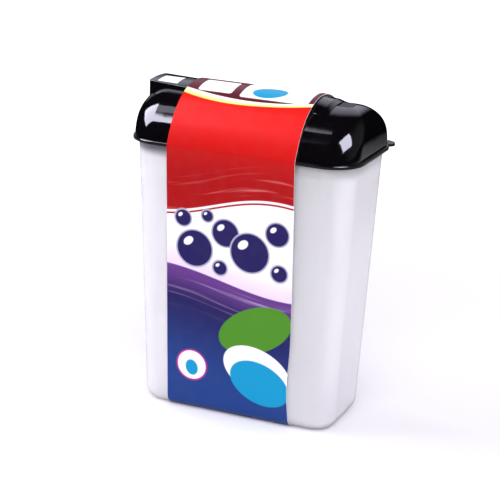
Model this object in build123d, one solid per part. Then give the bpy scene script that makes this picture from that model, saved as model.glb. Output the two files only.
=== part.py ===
from build123d import *
from math import asin, atan2, cos, hypot, radians, sin, sqrt
import os

# Washing powder container: a tall frosted tub, a glossy domed lid that plugs into it, a dosing
# scoop that hangs through a slot in the lid with its back plate as a raised spine along the crest,
# and a printed card sleeve wrapped round tub and lid.
# Millimetres. +X along the width, +Y to the back, +Z up. The origin is at the centre of the
# resting face, the underside of the card sleeve, which passes under the tub.

# Lid rim, the widest line of the container
LID_WIDTH = 176.0
LID_DEPTH = 96.6
LID_CORNER = 24.4
RIM_OVERHANG = 4.3
BEAD_HEIGHT = 2.5
BEAD_ROUND = 0.9
BEAD_PROUD = 2.8

# Tub
TUB_HEIGHT = 200.5
TUB_BASE_INSET = 8.2
TUB_BASE_CORNER = 16.0
TUB_WALL = 1.2
TUB_FLOOR = 1.4
TUB_BASE_ROUND = 8.0
FOOT_WIDTH = 5.0
FOOT_HEIGHT = 1.0

# Lid dome: straight up to a height, then a rounded end in one profile and an arch in the other
DOME_HEIGHT = 35.7
DOME_END_INSET = 1.9
DOME_CORNER = 21.0
CORNER_SHARE = 0.6
LID_WALL = 1.6
END_STRAIGHT = 11.7
END_ROUND = 21.5
END_FULLNESS = 2.38
ARCH_STRAIGHT = 2.1
ARCH_FULLNESS = 1.9

# Plug skirt under the lid, inside the tub's mouth
PLUG_DEPTH = 8.5
PLUG_WALL = 1.3
PLUG_GAP = 0.25

# Finger tab on the lid's back right corner
TAB_REACH = 6.5
TAB_WIDTH = 13.0
TAB_THICK = 1.9
TAB_ROUND = 5.4
TAB_ROOT = 2.0

# Scoop back plate, the raised spine: narrow and boxy at the handle, wide and arched at the scoop,
# where it slopes down to the dome
SPINE_LEFT_INSET = 3.9
SPINE_RIGHT_INSET = 29.5
SPINE_HANDLE_WIDTH = 28.0
SPINE_END_WIDTH = 46.0
SPINE_HANDLE_RISE = 2.7
SPINE_CREST_RISE = 3.6
SPINE_END_STEP = 0.3
SPINE_SLOPE = 14.0
SPINE_SLOPE_FALL = 1.2
SPINE_NOSE = 4.0
SPINE_WALL = 1.6
SPINE_CORNER_ROUND = 2.5
SPINE_EDGE_ROUND = 0.8
SPINE_FOOT = 10.0

# Scoop trough under the spine
TROUGH_LEFT_INSET = 38.1
TROUGH_RIGHT_INSET = 8.5
TROUGH_WIDTH = 24.0
TROUGH_DEPTH = 50.0
TROUGH_WALL = 1.3
TROUGH_ROUND = 5.0
SLOT_GAP = 1.2

# White label let flush into the handle's top
LABEL_INSET = 6.6
LABEL_LENGTH = 15.4
LABEL_BORDER = 1.4
LABEL_DEPTH = 14.6
LABEL_THICK = 0.4

# Card sleeve, a closed band
CARD = 0.5
CARD_GAP = 0.3
SLEEVE_LEFT = -51.9
SLEEVE_WIDTH = 97.8
SLEEVE_CREST_GAP = 0.6
SLEEVE_CROWN_GAP = 0.35
SHOULDER_SHARE = 0.57
SHOULDER_GAP = 1.0
SLEEVE_BEND_ROUND = 4.0
LAP_LOW = 30.0
LAP_WIDTH = 16.0

RIM_Z = CARD + TUB_HEIGHT
SPINE_LEFT = SPINE_LEFT_INSET - LID_WIDTH / 2
SPINE_RIGHT = LID_WIDTH / 2 - SPINE_RIGHT_INSET
SPINE_CREST = DOME_HEIGHT + SPINE_CREST_RISE
SPINE_HANDLE_EDGE = DOME_HEIGHT + SPINE_HANDLE_RISE
TROUGH_LEFT = SPINE_LEFT + TROUGH_LEFT_INSET
TROUGH_RIGHT = SPINE_RIGHT - TROUGH_RIGHT_INSET


def slab(z, half_x, half_y, radius):
    """A rounded rectangle about the Z axis, at height z."""
    return Plane.XY.offset(z) * RectangleRounded(2 * half_x, 2 * half_y, radius)


def tub_section(z, inward=0.0):
    """The tub's outer outline at height z, moved inwards by a wall or a gap."""
    inset = TUB_BASE_INSET * (RIM_Z - z) / TUB_HEIGHT
    half_x = LID_WIDTH / 2 - RIM_OVERHANG - inset - inward
    half_y = LID_DEPTH / 2 - RIM_OVERHANG - inset - inward
    rim_corner = LID_CORNER - RIM_OVERHANG
    corner = rim_corner + (TUB_BASE_CORNER - rim_corner) * (RIM_Z - z) / TUB_HEIGHT
    return slab(z, half_x, half_y, corner - inward)


def bottom_edges(solid):
    """The edges of a solid's lowest face."""
    return solid.faces().sort_by(Axis.Z)[0].edges()


def make_tub():
    outer = loft([tub_section(CARD), tub_section(RIM_Z)], ruled=True)
    outer = fillet(bottom_edges(outer), TUB_BASE_ROUND)
    floor_top = CARD + FOOT_HEIGHT + TUB_FLOOR
    above_rim = RIM_Z + 1.0
    inner = loft([tub_section(floor_top, TUB_WALL), tub_section(above_rim, TUB_WALL)], ruled=True)
    inner = fillet(bottom_edges(inner), TUB_BASE_ROUND - TUB_WALL)
    recess = tub_section(CARD, TUB_BASE_ROUND + FOOT_WIDTH)
    return outer - inner - extrude(recess, FOOT_HEIGHT)


def dome_outline(height, inward):
    """Half length, half depth and corner radius of the dome at a height above the rim."""
    end_rise = max(height - END_STRAIGHT, 0.0) / (DOME_HEIGHT - inward - END_STRAIGHT)
    arch_rise = max(height - ARCH_STRAIGHT, 0.0) / (DOME_HEIGHT - inward - ARCH_STRAIGHT)
    end_share = (1 - end_rise ** END_FULLNESS) ** (1 / END_FULLNESS)
    half_x = LID_WIDTH / 2 - DOME_END_INSET - END_ROUND * (1 - end_share) - inward
    half_y = (LID_DEPTH / 2 - BEAD_PROUD - inward) * sqrt(1 - arch_rise ** ARCH_FULLNESS)
    corner = ((DOME_CORNER - inward) ** -4 + (CORNER_SHARE * half_y) ** -4) ** -0.25
    return half_x, half_y, corner


def arch_height(half_y):
    """Height of the dome's surface above the rim, half way along, at a distance from the middle."""
    share = 1 - (half_y / (LID_DEPTH / 2 - BEAD_PROUD)) ** 2
    return ARCH_STRAIGHT + (DOME_HEIGHT - ARCH_STRAIGHT) * share ** (1 / ARCH_FULLNESS)


def make_dome(inward=0.0):
    """The dome as a solid, lofted smoothly through outlines that close up towards the crest."""
    top = DOME_HEIGHT - inward
    turns = (0, 6.5, 12, 18, 24, 30, 36, 42, 48, 54, 60, 66, 72, 77, 81)
    heights = [top * sin(radians(turn)) for turn in turns]
    return loft([slab(RIM_Z + height, *dome_outline(height, inward)) for height in heights])


def plug_ring():
    """The skirt that fits inside the tub's mouth, leaning with its wall."""
    low = RIM_Z - PLUG_DEPTH
    gap = TUB_WALL + PLUG_GAP
    outer = loft([tub_section(low, gap), tub_section(RIM_Z, gap)], ruled=True)
    inner = loft([tub_section(low, gap + PLUG_WALL), tub_section(RIM_Z, gap + PLUG_WALL)], ruled=True)
    return outer - inner


def finger_tab():
    """A rounded tab that stands out from the rim at 45 degrees."""
    corner_x = LID_WIDTH / 2 - LID_CORNER
    corner_y = LID_DEPTH / 2 - LID_CORNER
    reach = LID_CORNER + TAB_REACH
    length = 2 * (TAB_REACH + TAB_ROOT)
    blade = Pos(reach - length / 2, 0) * RectangleRounded(length, TAB_WIDTH, TAB_ROUND)
    blade = Pos(corner_x, corner_y) * Rot(0, 0, 45) * blade
    return extrude(Plane.XY.offset(RIM_Z) * blade, TAB_THICK)


def slot_box(extra, low, high):
    """The space that the trough takes through the lid, with a gap all round."""
    length = TROUGH_RIGHT - TROUGH_LEFT + 2 * extra
    middle = (TROUGH_RIGHT + TROUGH_LEFT) / 2
    outline = RectangleRounded(length, TROUGH_WIDTH + 2 * extra, extra)
    return extrude(Pos(middle, 0, low) * outline, high - low)


def make_lid(dome):
    bead = extrude(slab(RIM_Z, LID_WIDTH / 2, LID_DEPTH / 2, LID_CORNER), BEAD_HEIGHT)
    bead = fillet(bead.faces().sort_by(Axis.Z)[-1].edges(), BEAD_ROUND)
    above_shelf = Pos(0, 0, RIM_Z + LID_WALL + DOME_HEIGHT) * Box(LID_WIDTH, LID_DEPTH, 2 * DOME_HEIGHT)
    inside = make_dome(LID_WALL) & above_shelf
    mouth = extrude(tub_section(RIM_Z, TUB_WALL + PLUG_GAP + PLUG_WALL), 2 * LID_WALL)
    lid = bead + finger_tab() + dome - inside - mouth + plug_ring()
    return lid - slot_box(SLOT_GAP, RIM_Z + BEAD_HEIGHT, RIM_Z + DOME_HEIGHT + 1.0)


def spine_section(x, half, edge, crest, low):
    """The spine's section across X: a flat floor, straight sides and a crowned top."""
    left = (-half, edge)
    right = (half, edge)
    top = ThreePointArc(left, (0, crest), right)
    rest = Polyline(right, (half, low), (-half, low), left)
    face = make_face(top + rest)
    return Plane(origin=(x, 0, RIM_Z), x_dir=(0, 1, 0), z_dir=(1, 0, 0)) * face


def spine_edge(x):
    """Half width and edge height of the spine at a place along it."""
    share = (x - SPINE_LEFT) / (SPINE_RIGHT - SPINE_LEFT)
    half = SPINE_HANDLE_WIDTH / 2 + share * (SPINE_END_WIDTH - SPINE_HANDLE_WIDTH) / 2
    end_edge = arch_height(SPINE_END_WIDTH / 2) + SPINE_END_STEP
    return half, SPINE_HANDLE_EDGE + share * (end_edge - SPINE_HANDLE_EDGE)


def spine_block(inward=0.0):
    """The spine as a solid block, from inside the dome to the crowned top and its sloping end."""
    crest = SPINE_CREST - inward
    sections = []
    for x, top in (
        (SPINE_LEFT + inward, crest),
        (SPINE_RIGHT - SPINE_SLOPE, crest),
        (SPINE_RIGHT - SPINE_NOSE, crest - SPINE_SLOPE_FALL),
        (SPINE_RIGHT - inward, DOME_HEIGHT + SPINE_END_STEP - inward),
    ):
        half, edge = spine_edge(x)
        sections.append(spine_section(x, half - inward, edge - inward, top, SPINE_FOOT))
    return loft(sections, ruled=True)


def round_spine(block):
    """Round the handle's two upright corners and the edge of its top."""
    upright = [
        edge for edge in block.edges().filter_by(Axis.Z)
        if edge.center().X < SPINE_LEFT + 0.1
    ]
    block = fillet(upright, SPINE_CORNER_ROUND)
    top = [
        edge for edge in block.edges()
        if edge.bounding_box().max.X < SPINE_LEFT + SPINE_CORNER_ROUND + 0.1
        and edge.bounding_box().min.Z > RIM_Z + SPINE_HANDLE_EDGE - 1.0
    ]
    return fillet(top, SPINE_EDGE_ROUND)


def trough_space(inward, cap):
    """The trough's outer or inner form: rounded below, and closed above by the spine's form."""
    low = RIM_Z + DOME_HEIGHT - TROUGH_DEPTH + inward
    join = RIM_Z + SPINE_FOOT + 2.0
    left = TROUGH_LEFT + inward
    length = TROUGH_RIGHT + inward - left
    width = TROUGH_WIDTH - 2 * inward
    middle = left + length / 2
    lower = Pos(middle, 0, (low + join) / 2) * Box(length, width, join - low)
    lower = fillet(lower.edges().filter_by(Axis.X).sort_by(Axis.Z)[:2], TROUGH_ROUND - inward)
    upper = Pos(middle, 0, join + SPINE_CREST / 2) * Box(length, width, SPINE_CREST)
    return lower + (upper & cap)


def make_label(block):
    """The label: the spine's own top surface, a little thick, within the label's outline."""
    middle_x = SPINE_LEFT + LABEL_INSET + LABEL_LENGTH / 2
    middle_y = LABEL_BORDER + LABEL_DEPTH / 2 - SPINE_HANDLE_WIDTH / 2
    prism = Pos(middle_x, middle_y, RIM_Z + SPINE_CREST) * Box(LABEL_LENGTH, LABEL_DEPTH, SPINE_FOOT)
    return (block & prism) - Pos(0, 0, -LABEL_THICK) * block


def make_doser(dome, block, label):
    hollow = spine_block(SPINE_WALL)
    shell = block - hollow - dome
    trough = trough_space(0.0, block) - trough_space(TROUGH_WALL, hollow)
    return shell + trough - label


def circle_tangent(point, centre, radius):
    """Where the line from a point touches a circle, on the circle's outer side."""
    dy = centre[0] - point[0]
    dz = centre[1] - point[1]
    distance = hypot(dy, dz)
    heading = atan2(dz, dy) + asin(radius / distance)
    run = sqrt(distance ** 2 - radius ** 2)
    return point[0] + run * cos(heading), point[1] + run * sin(heading)


def off_line(point, angle, out):
    """A point moved outwards, square to a line that falls at an angle."""
    return point[0] + out * sin(angle), point[1] + out * cos(angle)


def fall(start, end, angle):
    """The angle at which an arc reaches its end, when it leaves its start at an angle."""
    return 2 * atan2(start[1] - end[1], end[0] - start[0]) - angle


def band_half(out):
    """Half of the band's outline, +Y side, from the middle of its base to its crest.
    The card is taut: it rests on the tub's rounded base edge and on the lid's bead, and arches
    over the dome and the spine. out is how far the outline stands off the card's inner face."""
    base_half = LID_DEPTH / 2 - RIM_OVERHANG - TUB_BASE_INSET * (1 - TUB_BASE_ROUND / TUB_HEIGHT)
    centre = (base_half - TUB_BASE_ROUND + CARD_GAP, CARD + TUB_BASE_ROUND)
    reach = TUB_BASE_ROUND + out
    bend = (LID_DEPTH / 2 + CARD_GAP + out, RIM_Z + BEAD_HEIGHT / 2)
    touch = circle_tangent(bend, centre, reach)
    foot = (centre[0], CARD - out)
    turn = (atan2(touch[1] - centre[1], touch[0] - centre[0]) - radians(90)) / 2
    halfway = (centre[0] + reach * cos(turn), centre[1] + reach * sin(turn))

    peak = (0.0, RIM_Z + SPINE_CREST + SLEEVE_CREST_GAP)
    spine_half, spine_top = spine_edge(SLEEVE_LEFT)
    crown = (spine_half + SLEEVE_CROWN_GAP, RIM_Z + spine_top + SLEEVE_CROWN_GAP)
    shoulder_height = SHOULDER_SHARE * DOME_HEIGHT
    shoulder = (dome_outline(shoulder_height, 0.0)[1] + SHOULDER_GAP, RIM_Z + shoulder_height)
    crown_fall = fall(peak, crown, 0.0)
    shoulder_fall = fall(crown, shoulder, crown_fall)
    peak = off_line(peak, 0.0, out)
    crown = off_line(crown, crown_fall, out)
    shoulder = off_line(shoulder, shoulder_fall, out)

    return [
        Line((0.0, CARD - out), foot),
        ThreePointArc(foot, halfway, touch),
        Line(touch, bend),
        TangentArc(shoulder, bend, tangent=(cos(shoulder_fall), -sin(shoulder_fall))),
        TangentArc(crown, shoulder, tangent=(cos(crown_fall), -sin(crown_fall))),
        TangentArc(peak, crown, tangent=(1, 0)),
    ]


def band_face(out):
    half = band_half(out)
    other = [mirror(part, about=Plane.YZ) for part in half]
    face = make_face(half + other)
    bends = [v for v in face.vertices() if abs(v.Y - RIM_Z - BEAD_HEIGHT / 2) < 0.01]
    return fillet(bends, SLEEVE_BEND_ROUND + out)


def glue_lap():
    """The band's glued lap: a second layer of card across the back, near the base."""
    half = band_half(CARD)
    leg = half[2]
    start = leg @ 0
    run = leg % 0
    normal = (run.Y, -run.X)
    low = LAP_LOW - start.Y
    a = (start.X + run.X * low, start.Y + run.Y * low)
    b = (a[0] + run.X * LAP_WIDTH, a[1] + run.Y * LAP_WIDTH)
    c = (b[0] + normal[0] * CARD, b[1] + normal[1] * CARD)
    d = (a[0] + normal[0] * CARD, a[1] + normal[1] * CARD)
    return make_face(Polyline(a, b, c, d, a))


def make_sleeve():
    ring = band_face(CARD) - band_face(0.0) + glue_lap()
    plane = Plane(origin=(SLEEVE_LEFT, 0, 0), x_dir=(0, 1, 0), z_dir=(1, 0, 0))
    return extrude(plane * ring, SLEEVE_WIDTH)


def main():
    os.makedirs("parts", exist_ok=True)
    dome = make_dome()
    block = round_spine(spine_block())
    label = make_label(block)
    pieces = {
        "tub": make_tub(),
        "lid": make_lid(dome),
        "doser": make_doser(dome, block, label),
        "handle_label": label,
        "sleeve": make_sleeve(),
    }
    for name, piece in pieces.items():
        export_step(piece, f"parts/{name}.step")


main()
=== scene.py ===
import math

import bmesh
import bpy
from mathutils import Matrix, Vector


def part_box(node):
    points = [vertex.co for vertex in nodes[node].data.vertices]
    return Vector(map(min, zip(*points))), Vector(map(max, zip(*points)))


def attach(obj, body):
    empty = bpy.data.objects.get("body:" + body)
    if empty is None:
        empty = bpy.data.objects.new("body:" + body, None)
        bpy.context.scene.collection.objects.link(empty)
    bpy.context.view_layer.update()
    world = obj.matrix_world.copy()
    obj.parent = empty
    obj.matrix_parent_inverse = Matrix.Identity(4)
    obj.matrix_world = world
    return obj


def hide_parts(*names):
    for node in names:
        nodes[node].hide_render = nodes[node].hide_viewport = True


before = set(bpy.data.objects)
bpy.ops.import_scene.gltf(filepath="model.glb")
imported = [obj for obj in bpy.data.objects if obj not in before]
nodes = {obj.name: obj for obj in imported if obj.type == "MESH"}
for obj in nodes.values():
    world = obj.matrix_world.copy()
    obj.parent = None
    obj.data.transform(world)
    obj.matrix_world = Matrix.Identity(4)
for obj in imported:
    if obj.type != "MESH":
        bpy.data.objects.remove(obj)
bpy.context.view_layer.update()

MM = 0.001


def material(name):
    mat = bpy.data.materials.new(name)
    mat.use_nodes = True
    tree = mat.node_tree
    tree.nodes.clear()
    return mat, tree


def add(tree, kind, inputs=None, **settings):
    """A node with its settings and its inputs, each a value or another node's socket."""
    node = tree.nodes.new(kind)
    for key, value in settings.items():
        setattr(node, key, value)
    for key, value in (inputs or {}).items():
        socket = node.inputs[key]
        if isinstance(value, bpy.types.NodeSocket):
            tree.links.new(value, socket)
        else:
            socket.default_value = value
    return node


def calc(tree, operation, *values):
    node = tree.nodes.new("ShaderNodeMath")
    node.operation = operation
    for index, value in enumerate(values):
        if isinstance(value, bpy.types.NodeSocket):
            tree.links.new(value, node.inputs[index])
        else:
            node.inputs[index].default_value = value
    return node.outputs[0]


def blend_colour(tree, factor, a, b):
    node = tree.nodes.new("ShaderNodeMix")
    node.data_type = "RGBA"
    for socket, value in ((node.inputs[0], factor), (node.inputs[6], a), (node.inputs[7], b)):
        if isinstance(value, bpy.types.NodeSocket):
            tree.links.new(value, socket)
        else:
            socket.default_value = value
    return node.outputs[2]


def srgb(r, g, b):
    """A linear colour from one given in the usual 0 to 255 steps."""
    def one(c):
        c /= 255
        return c / 12.92 if c <= 0.04045 else ((c + 0.055) / 1.055) ** 2.4
    return (one(r), one(g), one(b), 1.0)


def finish_material(tree, shader):
    out = tree.nodes.new("ShaderNodeOutputMaterial")
    tree.links.new(shader, out.inputs["Surface"])


def dress(obj, mat):
    obj.data.materials.clear()
    obj.data.materials.append(mat)


def gloss_black():
    """Moulded gloss black: a mirror with a very slight, broad waviness."""
    mat, tree = material("gloss_black")
    place = add(tree, "ShaderNodeTexCoord").outputs["Object"]
    fine = add(tree, "ShaderNodeTexNoise", {"Vector": place, "Scale": 260.0, "Detail": 3.0})
    broad = add(tree, "ShaderNodeTexNoise", {"Vector": place, "Scale": 22.0, "Detail": 2.0})
    rough = add(tree, "ShaderNodeMapRange", {"Value": broad.outputs["Fac"], "From Min": 0.3, "From Max": 0.7,
                                             "To Min": 0.05, "To Max": 0.10})
    tone = blend_colour(tree, fine.outputs["Fac"], (0.0012, 0.001, 0.0014, 1), (0.003, 0.0025, 0.0034, 1))
    bump = add(tree, "ShaderNodeBump", {"Height": fine.outputs["Fac"], "Strength": 0.02, "Distance": 0.0005})
    shader = add(tree, "ShaderNodeBsdfPrincipled", {
        "Base Color": tone, "Roughness": rough.outputs[0], "IOR": 1.49, "Normal": bump.outputs[0]})
    finish_material(tree, shader.outputs[0])
    return mat


# Heights of the band under the rim that is painted darker: painted shade of the rim and of the black skirt
# behind the wall.
SKIRT_LOW = 0.1905
SKIRT_HIGH = 0.1985


def frosted():
    """Milky polypropylene: lets light through and scatters it; a band under the rim, mostly on the left, is
    painted darker as painted shade of the rim and of the black skirt behind the wall.
    """
    mat, tree = material("frosted_plastic")
    place = add(tree, "ShaderNodeTexCoord").outputs["Object"]
    x, y, z = add(tree, "ShaderNodeSeparateXYZ", {"Vector": place}).outputs
    fine = add(tree, "ShaderNodeTexNoise", {"Vector": place, "Scale": 900.0, "Detail": 2.0})
    cloud = add(tree, "ShaderNodeTexNoise", {"Vector": place, "Scale": 16.0, "Detail": 3.0}).outputs["Fac"]
    tone = blend_colour(tree, fade(tree, cloud, 0.35, 0.7), (0.985, 0.965, 0.99, 1), (0.955, 0.93, 0.962, 1))
    # Painted shade: grey in a band under the rim, strongest on the left, standing in for the shade of the
    # rim and the black skirt behind the wall.
    painted_skirt_shade = both(tree, fade(tree, z, SKIRT_LOW, SKIRT_HIGH), fade(tree, x, 0.0, -0.06, 0.0, 0.9))
    tone = blend_colour(tree, painted_skirt_shade, tone, (0.25, 0.24, 0.30, 1))
    bump = add(tree, "ShaderNodeBump", {"Height": fine.outputs["Fac"], "Strength": 0.05, "Distance": 0.0002})
    shader = add(tree, "ShaderNodeBsdfPrincipled", {
        "Base Color": tone, "Roughness": 0.18, "IOR": 1.25,
        "Transmission Weight": 0.6, "Subsurface Weight": 1.0, "Subsurface Radius": (1.0, 1.0, 1.0),
        "Subsurface Scale": 0.003, "Normal": bump.outputs[0]})
    finish_material(tree, shader.outputs[0])
    return mat


def white_label():
    mat, tree = material("bare_label")
    place = add(tree, "ShaderNodeTexCoord").outputs["Object"]
    fine = add(tree, "ShaderNodeTexNoise", {"Vector": place, "Scale": 1500.0, "Detail": 4.0})
    tone = blend_colour(tree, fine.outputs["Fac"], (0.86, 0.86, 0.87, 1), (0.92, 0.92, 0.92, 1))
    shader = add(tree, "ShaderNodeBsdfPrincipled", {"Base Color": tone, "Roughness": 0.45})
    finish_material(tree, shader.outputs[0])
    return mat


def field(tree, value, edge, soft=0.0004):
    """1 where value is above edge, 0 below, with a hair's breadth of softness."""
    node = add(tree, "ShaderNodeMapRange", {"Value": value, "To Min": 0.0, "To Max": 1.0})
    for key, shift in (("From Min", -soft), ("From Max", soft)):
        if isinstance(edge, bpy.types.NodeSocket):
            tree.links.new(calc(tree, "ADD", edge, shift), node.inputs[key])
        else:
            node.inputs[key].default_value = edge + shift
    return node.outputs[0]


def fade(tree, value, start, end, low=0.0, high=1.0):
    return add(tree, "ShaderNodeMapRange", {"Value": value, "From Min": start, "From Max": end,
                                            "To Min": low, "To Max": high},
               interpolation_type="SMOOTHSTEP").outputs[0]


def both(tree, *masks):
    total = masks[0]
    for mask in masks[1:]:
        total = calc(tree, "MULTIPLY", total, mask)
    return total


def span(tree, a, b):
    """The length of a vector of two parts."""
    return calc(tree, "SQRT", calc(tree, "ADD", calc(tree, "MULTIPLY", a, a), calc(tree, "MULTIPLY", b, b)))


def away(tree, u, v, centre, stretch=(1.0, 1.0), turn=0.0):
    """Distance of (u, v) from a centre, in a turned and stretched frame."""
    du = calc(tree, "SUBTRACT", u, centre[0])
    dv = calc(tree, "SUBTRACT", v, centre[1])
    c, s = math.cos(turn), math.sin(turn)
    a = calc(tree, "ADD", calc(tree, "MULTIPLY", du, c), calc(tree, "MULTIPLY", dv, s))
    b = calc(tree, "SUBTRACT", calc(tree, "MULTIPLY", dv, c), calc(tree, "MULTIPLY", du, s))
    a = calc(tree, "MULTIPLY", a, 1 / stretch[0])
    b = calc(tree, "MULTIPLY", b, 1 / stretch[1])
    return span(tree, a, b), a, b


def disc(tree, u, v, centre, radius, stretch=(1.0, 1.0), turn=0.0):
    return field(tree, calc(tree, "MULTIPLY", away(tree, u, v, centre, stretch, turn)[0], -1), -radius)


def panel(tree, u, v, centre, half, turn=0.0, corner=0.002):
    """A rounded rectangle, 1 inside."""
    _, a, b = away(tree, u, v, centre, (1.0, 1.0), turn)
    a = calc(tree, "MAXIMUM", calc(tree, "SUBTRACT", calc(tree, "ABSOLUTE", a), half[0] - corner), 0.0)
    b = calc(tree, "MAXIMUM", calc(tree, "SUBTRACT", calc(tree, "ABSOLUTE", b), half[1] - corner), 0.0)
    return field(tree, calc(tree, "MULTIPLY", span(tree, a, b), -1), -corner)


RED = srgb(196, 22, 20)
# DEEP_RED is both the ink of the thin line under the red field and the painted shade low on the upright red
# front.
DEEP_RED = srgb(152, 6, 10)
WHITE = srgb(247, 240, 250)
LILAC = srgb(212, 196, 226)
NAVY = srgb(30, 24, 80)
BLUE = srgb(30, 58, 122)
VIOLET = srgb(92, 52, 122)
MAROON = srgb(84, 20, 32)
YELLOW = srgb(255, 226, 120)
CREAM = srgb(250, 244, 226)
CYAN = srgb(14, 138, 184)
GREEN = srgb(70, 128, 34)
MAGENTA = srgb(166, 36, 132)

# The front print, in metres across the card and up from the base
RED_LOW = 0.163
BLUE_TOP = 0.106
CREASE_Y = -0.0238
CREASE_BOW = 2.6
STRIPE_WIDTH = 0.0028
STRIPE_SPREAD = 0.0026
BUBBLES = (
    ((-0.030, 0.128), 0.0135, NAVY), ((-0.006, 0.143), 0.0100, NAVY), ((0.013, 0.131), 0.0145, NAVY),
    ((0.034, 0.148), 0.0085, NAVY), ((-0.039, 0.150), 0.0060, NAVY), ((0.036, 0.119), 0.0060, NAVY),
    ((-0.010, 0.116), 0.0052, NAVY), ((-0.020, 0.154), 0.0042, NAVY),
)
BLUE_SHAPES = (
    ((0.018, 0.072), 0.021, (1.45, 0.8), 0.45, GREEN),
    ((0.020, 0.040), 0.021, (1.3, 0.85), -0.35, WHITE),
    ((0.022, 0.031), 0.020, (1.2, 0.8), -0.35, CYAN),
    ((-0.032, 0.036), 0.0125, (1.0, 1.0), 0.0, MAGENTA),
    ((-0.032, 0.036), 0.0112, (1.0, 1.0), 0.0, WHITE),
    ((-0.032, 0.034), 0.0062, (0.8, 1.0), 0.2, CYAN),
)
TOP_PANELS = (
    ((0.016, -0.004), (0.026, 0.016), srgb(236, 240, 248)),
    ((-0.030, -0.008), (0.013, 0.010), WHITE),
)


def printed_card():
    mat, tree = material("printed_card")
    place = add(tree, "ShaderNodeTexCoord").outputs["Object"]
    x, y, z = add(tree, "ShaderNodeSeparateXYZ", {"Vector": place}).outputs

    # red above, with a swept lower edge and fine arcs along it
    swing = calc(tree, "SINE", calc(tree, "MULTIPLY_ADD", x, 34.0, 0.5))
    red_edge = calc(tree, "MULTIPLY_ADD", swing, 0.009, RED_LOW)
    over = calc(tree, "SUBTRACT", z, red_edge)
    swing = calc(tree, "SINE", calc(tree, "MULTIPLY_ADD", x, 30.0, 3.4))
    blue_edge = calc(tree, "MULTIPLY_ADD", swing, 0.008, BLUE_TOP)
    under = calc(tree, "SUBTRACT", blue_edge, z)
    # Painted shade: the red turns darker lower down the upright front and lighter up on the arch that faces
    # the light.
    red = blend_colour(tree, fade(tree, z, 0.176, 0.232), DEEP_RED, RED)
    streaks = add(tree, "ShaderNodeTexNoise", {"Vector": add(tree, "ShaderNodeCombineXYZ", {
        "X": calc(tree, "MULTIPLY", x, 9.0), "Y": calc(tree, "MULTIPLY", over, 190.0)}).outputs[0],
        "Scale": 1.0, "Detail": 3.0}).outputs["Fac"]
    streak = both(tree, fade(tree, streaks, 0.52, 0.70), fade(tree, over, 0.030, 0.004))
    red = blend_colour(tree, calc(tree, "MULTIPLY", streak, 0.55), red, srgb(245, 150, 150))
    tone = blend_colour(tree, fade(tree, under, -0.030, 0.0), WHITE, LILAC)
    tone = blend_colour(tree, field(tree, over, 0.0), tone, red)
    line = both(tree, field(tree, over, -0.0032), field(tree, calc(tree, "MULTIPLY", over, -1), 0.0016))
    tone = blend_colour(tree, line, tone, DEEP_RED)

    # navy and blue below
    low = blend_colour(tree, fade(tree, under, 0.0, 0.026), VIOLET, NAVY)
    low = blend_colour(tree, fade(tree, under, 0.018, 0.085), low, BLUE)
    rays = add(tree, "ShaderNodeTexNoise", {"Vector": add(tree, "ShaderNodeCombineXYZ", {
        "X": calc(tree, "MULTIPLY", x, 7.0), "Y": calc(tree, "MULTIPLY", under, 210.0)}).outputs[0],
        "Scale": 1.0, "Detail": 3.0}).outputs["Fac"]
    ray = both(tree, fade(tree, rays, 0.50, 0.72), fade(tree, under, 0.034, 0.003))
    low = blend_colour(tree, calc(tree, "MULTIPLY", ray, 0.6), low, srgb(214, 190, 232))
    tone = blend_colour(tree, field(tree, under, 0.0), tone, low)

    # round motifs across the white
    for centre, radius, ink in BUBBLES:
        tone = blend_colour(tree, disc(tree, x, z, centre, radius + 0.0012), tone, srgb(160, 158, 178))
        tone = blend_colour(tree, disc(tree, x, z, centre, radius), tone, ink)
        glint = (centre[0] - 0.36 * radius, centre[1] + 0.38 * radius)
        tone = blend_colour(tree, disc(tree, x, z, glint, 0.2 * radius, (1.5, 1.0), 0.7), tone, WHITE)

    # broad leaf and wave shapes on the blue
    for centre, radius, stretch, turn, ink in BLUE_SHAPES:
        tone = blend_colour(tree, disc(tree, x, z, centre, radius, stretch, turn), tone, ink)

    # top panel behind the crease, and the pale stripe along it
    bow = calc(tree, "MULTIPLY", calc(tree, "POWER", calc(tree, "ABSOLUTE", x), 2.0), CREASE_BOW)
    behind = calc(tree, "SUBTRACT", y, calc(tree, "ADD", bow, CREASE_Y))
    top = both(tree, field(tree, behind, 0.0), field(tree, z, 0.2))
    top_tone = MAROON
    for centre, half, ink in TOP_PANELS:
        top_tone = blend_colour(tree, panel(tree, x, y, centre, half), top_tone, ink)
    top_tone = blend_colour(tree, disc(tree, x, y, (0.010, -0.010), 0.008, (1.6, 1.0), 0.2), top_tone, CYAN)
    tone = blend_colour(tree, top, tone, top_tone)
    front_edge = calc(tree, "ADD", fade(tree, x, 0.02, -0.05, 0.0, -STRIPE_SPREAD), -STRIPE_WIDTH)
    ahead = calc(tree, "MULTIPLY", behind, -1)
    stripe = both(tree, field(tree, behind, front_edge), field(tree, ahead, -0.0004), field(tree, z, 0.2))
    across = calc(tree, "DIVIDE", behind, front_edge)
    stripe_tone = blend_colour(tree, fade(tree, across, 0.75, 0.25), YELLOW, CREAM)
    tone = blend_colour(tree, stripe, tone, stripe_tone)

    ink = add(tree, "ShaderNodeTexNoise", {"Vector": place, "Scale": 120.0, "Detail": 4.0}).outputs["Fac"]
    tone = blend_colour(tree, fade(tree, ink, 0.35, 0.75, 0.0, 0.04), tone, (0.1, 0.1, 0.1, 1))
    fibre = add(tree, "ShaderNodeTexNoise", {"Vector": place, "Scale": 900.0, "Detail": 3.0}).outputs["Fac"]
    bump = add(tree, "ShaderNodeBump", {"Height": fibre, "Strength": 0.06, "Distance": 0.0002})
    shader = add(tree, "ShaderNodeBsdfPrincipled", {"Base Color": tone, "Roughness": 0.3, "IOR": 1.5,
                                                    "Specular IOR Level": 0.1, "Normal": bump.outputs[0]})
    finish_material(tree, shader.outputs[0])
    return mat


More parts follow.
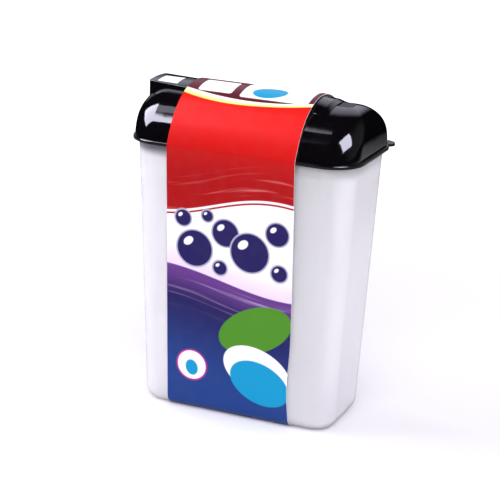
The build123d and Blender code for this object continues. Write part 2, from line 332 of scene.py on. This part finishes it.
def raw_card():
    mat, tree = material("raw_card")
    place = add(tree, "ShaderNodeTexCoord").outputs["Object"]
    fibre = add(tree, "ShaderNodeTexNoise", {"Vector": place, "Scale": 700.0, "Detail": 5.0}).outputs["Fac"]
    tone = blend_colour(tree, fibre, srgb(232, 228, 230), srgb(250, 248, 249))
    bump = add(tree, "ShaderNodeBump", {"Height": fibre, "Strength": 0.2, "Distance": 0.0002})
    shader = add(tree, "ShaderNodeBsdfPrincipled", {
        "Base Color": tone, "Roughness": 0.8, "Normal": bump.outputs[0]})
    finish_material(tree, shader.outputs[0])
    return mat


def inner_outline(node):
    """The card's inner outline as (y, z) points, from the middle of the base round by the front."""
    data = node.data
    end = min(v.co.x for v in data.vertices)
    uses = {}
    for face in data.polygons:
        spots = [data.vertices[i].co for i in face.vertices]
        if any(abs(spot.x - end) > 1e-5 for spot in spots):
            continue
        keys = [(round(spot.y, 6), round(spot.z, 6)) for spot in spots]
        for pair in zip(keys, keys[1:] + keys[:1]):
            uses[frozenset(pair)] = uses.get(frozenset(pair), 0) + 1
    beside = {}
    for a, b in (tuple(pair) for pair, count in uses.items() if count == 1):
        beside.setdefault(a, []).append(b)
        beside.setdefault(b, []).append(a)
    loops = []
    while beside:
        loop = [next(iter(beside))]
        while True:
            ahead = [spot for spot in beside.pop(loop[-1]) if spot in beside]
            if not ahead:
                break
            loop.append(ahead[0])
        loops.append(loop)
    loop = max(loops, key=lambda points: min(z for y, z in points))
    start = min(range(len(loop)), key=lambda i: (loop[i][1] > 0.002, abs(loop[i][0])))
    loop = loop[start:] + loop[:start]
    if loop[3][0] > loop[0][0] + 1e-4:
        loop = [loop[0]] + loop[:0:-1]
    return loop


def even_points(loop, step):
    """A closed outline, with points added so that none are further apart than a step."""
    points = []
    for (y0, z0), (y1, z1) in zip(loop, loop[1:] + loop[:1]):
        count = max(1, math.ceil(math.hypot(y1 - y0, z1 - z0) / step))
        points += [(y0 + (y1 - y0) * i / count, z0 + (z1 - z0) * i / count) for i in range(count)]
    return points


def outward(points):
    """The outward direction at each point of a closed outline."""
    normals = []
    for before, after in zip(points[-1:] + points[:-1], points[1:] + points[:1]):
        dy, dz = after[0] - before[0], after[1] - before[1]
        size = math.hypot(dy, dz) or 1
        normals.append((-dz / size, dy / size))
    middle = sum(z for y, z in points) / len(points)
    flip = sum(n[0] * y + n[1] * (z - middle) for n, (y, z) in zip(normals, points)) < 0
    return [(-n[0], -n[1]) for n in normals] if flip else normals


SKIN_IN = 0.02 * MM
SKIN_OUT = 0.47 * MM
EDGE_BOW = 2.4 * MM
EDGE_BOW_AT = 30 * MM
EDGE_BOW_SPREAD = 26 * MM
LAP = (30 * MM, 46 * MM)


def card_x(share, left, right, y, z):
    """Place across the card, with the right edge drawn in a little low on the front."""
    x = left + (right - left) * share
    if y < -0.02:
        drawn = EDGE_BOW * math.exp(-((z - EDGE_BOW_AT) / EDGE_BOW_SPREAD) ** 2)
        x -= drawn * max(0.0, (share - 0.75) / 0.25) ** 2
    return x


def slack(x, y, z):
    """How far the card falls in from its taut line: slow waves, on the free stretch of the legs."""
    free = max(0.0, min(1.0, (z - 0.05) / 0.05)) * max(0.0, min(1.0, (0.185 - z) / 0.04))
    wave = 0.5 + 0.5 * math.sin(31 * x + 23 * z + (1.3 if y < 0 else 4.0)) * math.cos(17 * z - 40 * x)
    return 0.6 * MM * free * wave


def skin_grid(mesh_data, rows, columns, closed, material_index, flip=False):
    """Faces between rows of points. rows is a list of lists of vertex numbers."""
    span = len(rows) if closed else len(rows) - 1
    for r in range(span):
        a, b = rows[r], rows[(r + 1) % len(rows)]
        for c in range(columns - 1):
            quad = (a[c], b[c], b[c + 1], a[c + 1])
            mesh_data["faces"].append(quad[::-1] if flip else quad)
            mesh_data["slots"].append(material_index)


def add_rows(mesh_data, points, normals, out, left, right, columns):
    rows = []
    for (y, z), (ny, nz) in zip(points, normals):
        row = []
        for c in range(columns):
            share = c / (columns - 1)
            x = card_x(share, left, right, y, z)
            move = out - slack(x, y, z)
            row.append(len(mesh_data["points"]))
            mesh_data["points"].append((x, y + ny * move, z + nz * move))
        rows.append(row)
    return rows


def add_sheet(mesh_data, points, normals, base, left, right, closed, columns=41):
    """A sheet of card along an outline: print outside, raw card inside and on its edges."""
    inner = add_rows(mesh_data, points, normals, base + SKIN_IN, left, right, columns)
    outer = add_rows(mesh_data, points, normals, base + SKIN_OUT, left, right, columns)
    skin_grid(mesh_data, outer, columns, closed, 0)
    skin_grid(mesh_data, inner, columns, closed, 1, flip=True)
    for column, flip in ((0, False), (columns - 1, True)):
        rows = [[i[column], o[column]] for i, o in zip(inner, outer)]
        skin_grid(mesh_data, rows, 2, closed, 1, flip)
    if not closed:
        for row, flip in ((0, False), (-1, True)):
            rows = [inner[row], outer[row]]
            skin_grid(mesh_data, rows, columns, False, 1, not flip)


def make_card_sleeve(node):
    low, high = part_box("sleeve")
    points = even_points(inner_outline(node), 2.5 * MM)
    normals = outward(points)
    mesh_data = {"points": [], "faces": [], "slots": []}
    add_sheet(mesh_data, points, normals, 0.0, low[0], high[0], True)
    lap = [i for i, (y, z) in enumerate(points) if y > 0.02 and LAP[0] < z < LAP[1]]
    lap_points, lap_normals = [points[i] for i in lap], [normals[i] for i in lap]
    add_sheet(mesh_data, lap_points, lap_normals, SKIN_OUT, low[0], high[0], False)
    mesh = bpy.data.meshes.new("card_sleeve")
    mesh.from_pydata(mesh_data["points"], [], mesh_data["faces"])
    mesh.materials.append(printed_card())
    mesh.materials.append(raw_card())
    mesh.polygons.foreach_set("material_index", mesh_data["slots"])
    mesh.update()
    bm = bmesh.new()
    bm.from_mesh(mesh)
    bmesh.ops.recalc_face_normals(bm, faces=bm.faces)
    for edge in bm.edges:
        edge.smooth = len(edge.link_faces) == 2 and edge.calc_face_angle(0) < math.radians(40)
    for face in bm.faces:
        face.smooth = True
    bm.to_mesh(mesh)
    bm.free()
    sleeve = bpy.data.objects.new("card_sleeve", mesh)
    bpy.context.collection.objects.link(sleeve)
    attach(sleeve, "sleeve")
    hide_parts("sleeve")


BLACK = gloss_black()
dress(nodes["tub"], frosted())
dress(nodes["lid"], BLACK)
dress(nodes["doser"], BLACK)
dress(nodes["handle_label"], white_label())
make_card_sleeve(nodes["sleeve"])


FLOOR_GLOW = (0.0, 0.5)
GLOW_FROM = 0.3
GLOW_TO = 0.9
FLOOR_NEAR = 0.4
FLOOR_FAR = 1.1


def make_floor():
    mesh = bpy.data.meshes.new("floor")
    size = 3.0
    corners = [(-size, -size, 0), (size, -size, 0), (size, size, 0), (-size, size, 0)]
    mesh.from_pydata(corners, [], [(0, 1, 2, 3)])
    floor = bpy.data.objects.new("floor", mesh)
    bpy.context.collection.objects.link(floor)
    mat, tree = material("floor")
    path = add(tree, "ShaderNodeLightPath").outputs
    seen = calc(tree, "MAXIMUM", path["Is Camera Ray"], path["Is Transmission Ray"])
    place = add(tree, "ShaderNodeTexCoord").outputs["Object"]
    reach = add(tree, "ShaderNodeVectorMath", {0: place}, operation="LENGTH").outputs["Value"]
    mirrored = calc(tree, "MULTIPLY", path["Is Glossy Ray"], fade(tree, reach, FLOOR_NEAR, FLOOR_FAR))
    tone = blend_colour(tree, mirrored, (0.76, 0.735, 0.775, 1), (0.0, 0.0, 0.0, 1))
    base = add(tree, "ShaderNodeBsdfDiffuse", {"Color": tone})
    lift = calc(tree, "MULTIPLY", seen, fade(tree, reach, GLOW_FROM, GLOW_TO, *FLOOR_GLOW))
    glow = add(tree, "ShaderNodeEmission", {"Color": (1, 1, 1, 1), "Strength": lift})
    shader = add(tree, "ShaderNodeAddShader", {0: base.outputs[0], 1: glow.outputs[0]})
    finish_material(tree, shader.outputs[0])
    dress(floor, mat)


def toward(azimuth, elevation):
    """A unit direction: azimuth from +Y towards +X, elevation from level."""
    a, e = math.radians(azimuth), math.radians(elevation)
    return Vector((math.sin(a) * math.cos(e), math.cos(a) * math.cos(e), math.sin(e)))


def along(tree, way, axis):
    """How far a direction runs along an axis."""
    dot = tree.nodes.new("ShaderNodeVectorMath")
    dot.operation = "DOT_PRODUCT"
    tree.links.new(way, dot.inputs[0])
    dot.inputs[1].default_value = axis
    return dot.outputs["Value"]


def glow(tree, way, azimuth, elevation, inner, outer):
    """1 within an angle of a direction, falling softly to 0 at a wider angle."""
    near = along(tree, way, toward(azimuth, elevation))
    return fade(tree, near, math.cos(math.radians(outer)), math.cos(math.radians(inner)))


def window(tree, way, azimuth, elevation, half_wide, half_tall, turn=0.0):
    """1 inside a rectangle seen in a direction, such as a softbox, given by half angles."""
    ahead = toward(azimuth, elevation)
    side = toward(azimuth + 90, 0)
    up = side.cross(ahead)
    turn = math.radians(turn)
    side, up = side * math.cos(turn) + up * math.sin(turn), up * math.cos(turn) - side * math.sin(turn)
    depth = along(tree, way, ahead)
    front = calc(tree, "MAXIMUM", depth, 0.001)
    inside = field(tree, depth, 0.0)
    for axis, half in ((side, half_wide), (up, half_tall)):
        off = calc(tree, "ABSOLUTE", calc(tree, "DIVIDE", along(tree, way, axis), front))
        limit = math.tan(math.radians(half))
        inside = both(tree, inside, fade(tree, off, limit + 0.02, limit - 0.02))
    return inside


AIM = Vector((0, 0, 0.12))
COOL = (0.90, 0.92, 1.0)
# Name, azimuth, elevation, distance, size, power and tint
LAMPS = (
    ("left_box", -98, 32, 1.5, 1.25, 18, COOL),
    ("right_box", 120, 44, 1.5, 0.85, 7, COOL),
    ("front_fill", 165, 35, 1.9, 1.2, 17, (1, 1, 1)),
)
SOFT_LIGHT = 0.80
# Directions in degrees and a strength: round glows, then rectangular windows
GLOWS = (
    ((-14, 34, 8, 26), 1.5),
    ((-36, 20, 13, 20), 0.45),
    ((72, 18, 12, 50), 0.22),
)
WINDOWS = (
    ((-112, 43, 21, 17, 20), 19.0),
    ((-106, 60, 7, 9, 0), 3.4),
    ((120, 45, 17, 21, -12), 19.0),
)


def make_world():
    """White to the camera. Reflections see a backdrop behind, softboxes at the sides, and dark."""
    world = bpy.data.worlds.new("studio")
    world.use_nodes = True
    tree = world.node_tree
    tree.nodes.clear()
    path = add(tree, "ShaderNodeLightPath").outputs
    way = add(tree, "ShaderNodeTexCoord").outputs["Generated"]
    mirrored = 0.0
    for shape, places in ((glow, GLOWS), (window, WINDOWS)):
        for place, strength in places:
            lit = calc(tree, "MULTIPLY", shape(tree, way, *place), strength)
            mirrored = calc(tree, "MAXIMUM", lit, mirrored)
    white = calc(tree, "MAXIMUM", path["Is Camera Ray"], path["Is Transmission Ray"])
    soft = calc(tree, "MULTIPLY", path["Is Diffuse Ray"], SOFT_LIGHT)
    mirrored = calc(tree, "MULTIPLY", path["Is Glossy Ray"], mirrored)
    strength = calc(tree, "MAXIMUM", calc(tree, "MAXIMUM", white, soft), mirrored)
    tint = blend_colour(tree, path["Is Glossy Ray"], (1, 1, 1, 1), (0.84, 0.83, 1.0, 1))
    back = add(tree, "ShaderNodeBackground", {"Color": tint, "Strength": strength})
    out = tree.nodes.new("ShaderNodeOutputWorld")
    tree.links.new(back.outputs[0], out.inputs["Surface"])
    bpy.context.scene.world = world


def softbox(name, azimuth, elevation, distance, size, power, tint):
    """A square lamp aimed at the container, left out of reflections, which the world draws."""
    lamp = bpy.data.lights.new(name, "AREA")
    lamp.shape = "SQUARE"
    lamp.size = size
    lamp.energy = power
    lamp.color = tint
    obj = bpy.data.objects.new(name, lamp)
    bpy.context.collection.objects.link(obj)
    obj.location = AIM + distance * toward(azimuth, elevation)
    obj.rotation_euler = (AIM - obj.location).to_track_quat("-Z", "Y").to_euler()
    obj.visible_glossy = False


# Azimuth, elevation and roll in degrees, focal length and place in mm
CAMERA_ANGLES = (22.581, 17.653, -2.27)
CAMERA_LENS = 125.34
CAMERA_PLACE = (464.375, -1129.086, 507.446)


def make_camera():
    azimuth, elevation, roll = (math.radians(v) for v in CAMERA_ANGLES)
    forward = Vector((-math.sin(azimuth) * math.cos(elevation), math.cos(azimuth) * math.cos(elevation),
                      -math.sin(elevation)))
    level = Vector((math.cos(azimuth), math.sin(azimuth), 0))
    plumb = forward.cross(level)
    right = math.cos(roll) * level + math.sin(roll) * plumb
    down = -math.sin(roll) * level + math.cos(roll) * plumb
    lens = bpy.data.cameras.new("camera")
    lens.sensor_width = 36.0
    lens.lens = CAMERA_LENS
    lens.clip_start = 0.01
    camera = bpy.data.objects.new("camera", lens)
    bpy.context.collection.objects.link(camera)
    turn = Matrix((right, -down, -forward)).transposed().to_4x4()
    camera.matrix_world = Matrix.Translation(Vector(CAMERA_PLACE) * MM) @ turn
    bpy.context.scene.camera = camera


make_floor()
make_world()
make_camera()
for lamp_settings in LAMPS:
    softbox(*lamp_settings)
bpy.context.scene.view_settings.view_transform = "Standard"
